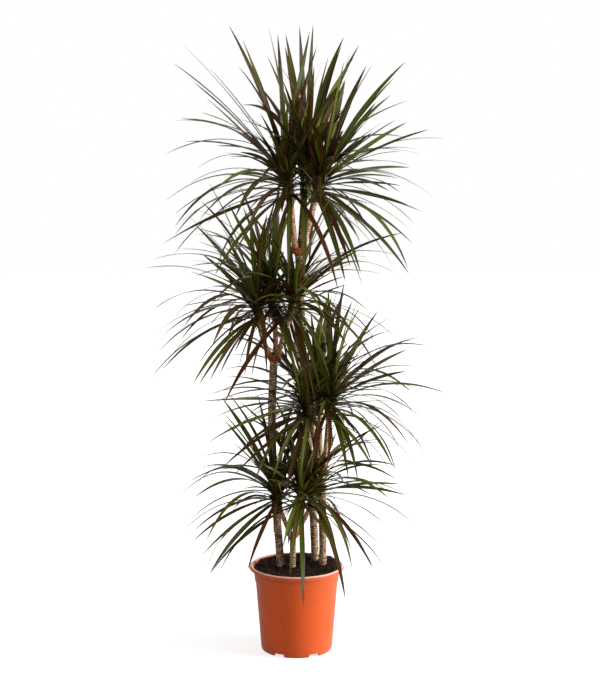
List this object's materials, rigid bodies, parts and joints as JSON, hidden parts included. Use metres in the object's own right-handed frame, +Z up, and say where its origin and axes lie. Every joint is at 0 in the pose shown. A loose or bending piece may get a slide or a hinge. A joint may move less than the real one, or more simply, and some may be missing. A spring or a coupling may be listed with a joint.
{
  "type": "potted dragon tree",
  "caption": "Floor-standing potted dragon tree: stepped bare canes in a round nursery pot, each topped by side shoots with rosettes of narrow arching leaves.",
  "frame": {"origin": "centre of the pot's underside, on the surface that the pot stands on", "axes": "+Z up, +X to the right and -Y to the front of the plant as it is looked at"},
  "size_m": [0.7459, 0.6736, 1.57],
  "materials": {
    "pot_plastic": "satin injection-moulded polypropylene, terracotta orange",
    "potting_mix": "damp peat and bark crumbs",
    "cane_bark": "dry bark ringed with leaf scars",
    "shoot_bark": "young bark with fresh leaf scars",
    "young_leaf": "waxy leaf, fresh green",
    "green_leaf": "waxy leaf, dark green with maroon margins",
    "old_leaf": "waxy leaf, dark green and brownish red"
  },
  "bodies": {
    "root": {"pot": "pot_plastic", "potting_soil": "potting_mix", "tall_cane": "cane_bark", "tall_left_shoot": "shoot_bark", "tall_left_young_leaves": "young_leaf", "tall_left_middle_leaves": "green_leaf", "tall_left_old_leaves": "old_leaf", "tall_right_shoot": "shoot_bark", "tall_right_young_leaves": "young_leaf", "tall_right_middle_leaves": "green_leaf", "tall_right_old_leaves": "old_leaf", "tall_back_shoot": "shoot_bark", "tall_back_young_leaves": "young_leaf", "tall_back_middle_leaves": "green_leaf", "tall_back_old_leaves": "old_leaf", "left_cane": "cane_bark", "left_left_shoot": "shoot_bark", "left_left_young_leaves": "young_leaf", "left_left_middle_leaves": "green_leaf", "left_left_old_leaves": "old_leaf", "left_back_shoot": "shoot_bark", "left_back_young_leaves": "young_leaf", "left_back_middle_leaves": "green_leaf", "left_back_old_leaves": "old_leaf", "left_right_shoot": "shoot_bark", "left_right_young_leaves": "young_leaf", "left_right_middle_leaves": "green_leaf", "left_right_old_leaves": "old_leaf", "right_cane": "cane_bark", "right_left_shoot": "shoot_bark", "right_left_young_leaves": "young_leaf", "right_left_middle_leaves": "green_leaf", "right_left_old_leaves": "old_leaf", "right_back_shoot": "shoot_bark", "right_back_young_leaves": "young_leaf", "right_back_middle_leaves": "green_leaf", "right_back_old_leaves": "old_leaf", "right_right_shoot": "shoot_bark", "right_right_young_leaves": "young_leaf", "right_right_middle_leaves": "green_leaf", "right_right_old_leaves": "old_leaf", "short_cane": "cane_bark", "short_left_shoot": "shoot_bark", "short_left_young_leaves": "young_leaf", "short_left_middle_leaves": "green_leaf", "short_left_old_leaves": "old_leaf", "short_front_shoot": "shoot_bark", "short_front_young_leaves": "young_leaf", "short_front_middle_leaves": "green_leaf", "short_front_old_leaves": "old_leaf", "short_right_shoot": "shoot_bark", "short_right_young_leaves": "young_leaf", "short_right_middle_leaves": "green_leaf", "short_right_old_leaves": "old_leaf"}
  },
  "joints": []
}
